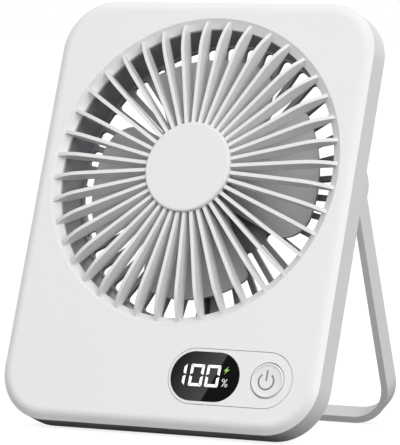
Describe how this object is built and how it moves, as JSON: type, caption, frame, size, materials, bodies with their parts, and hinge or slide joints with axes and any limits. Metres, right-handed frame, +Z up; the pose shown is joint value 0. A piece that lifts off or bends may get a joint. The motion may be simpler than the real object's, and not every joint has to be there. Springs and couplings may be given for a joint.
{
  "type": "portable camping fan",
  "caption": "Thin upright portable fan with a round radial grille, a charge display, a round power button and a U-shaped folding stand.",
  "frame": {"origin": "Bottom centre of the box around the whole fan, standing on its stand.", "axes": "+X to the viewer's right across the face, -Y the way the face looks, +Z up. The housing leans back 19.6 degrees on the stand."},
  "size_m": [0.143, 0.096, 0.1732],
  "materials": {
    "shell_white": "satin",
    "grille_white": "satin",
    "panel_white": "satin",
    "window_black": "gloss",
    "module_black": "matte",
    "board_green": "satin",
    "screw_steel": "satin",
    "switch_black": "matte",
    "frame_grey": "satin",
    "impeller_white": "semi-gloss",
    "can_steel": "satin",
    "magnet_grey": "matte",
    "core_steel": "matte",
    "coil_copper": "gloss",
    "bush_bronze": "matte",
    "lead_insulation": "satin",
    "cell_foil": "satin",
    "foam_grey": "matte",
    "stand_white": "satin",
    "washer_nylon": "matte"
  },
  "bodies": {
    "housing": {"front_shell": "shell_white", "front_grille": "grille_white", "grille_cap": "grille_white", "control_panel": "panel_white", "display_window": "window_black", "display_module": "module_black", "main_board": "board_green", "board_screws": "screw_steel", "button_switch": "switch_black", "rear_shell": "shell_white", "fan_frame": "frame_grey", "frame_screws": "screw_steel", "shell_screws": "screw_steel", "stator_core": "core_steel", "stator_coils": "coil_copper", "motor_base": "frame_grey", "motor_bush": "bush_bronze", "sensor_board": "board_green", "motor_screws": "screw_steel", "motor_lead": "lead_insulation", "battery_cell": "cell_foil", "battery_foam": "foam_grey", "battery_lead": "lead_insulation", "charge_board": "board_green", "charge_socket": "can_steel", "charge_lead": "lead_insulation", "pivot_pins": "can_steel", "pivot_washers": "washer_nylon"},
    "stand": {"stand": "stand_white"},
    "rotor": {"impeller": "impeller_white", "rotor_can": "can_steel", "rotor_magnet": "magnet_grey", "motor_shaft": "can_steel"},
    "button": {"power_button": "panel_white"},
    "plunger": {"switch_plunger": "switch_black"}
  },
  "joints": [
    {"name": "stand_hinge", "type": "hinge", "parent": "housing", "child": "stand", "pos_m": [0, 0.00386, 0.10019], "axis": [1, 0, 0], "range_deg": [-41.6, 138.3]},
    {"name": "impeller_spin", "type": "hinge", "parent": "housing", "child": "rotor", "pos_m": [0, -0.00388, 0.102], "axis": [0, -0.9421, 0.3355], "continuous": true},
    {"name": "power_button_press", "type": "slide", "parent": "housing", "child": "button", "axis": [0, 0.9421, -0.3355], "range_m": [0, 0.0004], "stiffness_N_per_m": 1500, "springref_m": -0.0004},
    {"name": "switch_plunger_press", "type": "slide", "parent": "housing", "child": "plunger", "axis": [0, 0.9421, -0.3355], "range_m": [0, 0.0004]}
  ],
  "couplings": [
    {"joint": "switch_plunger_press", "follows": "power_button_press", "ratio": 1}
  ]
}
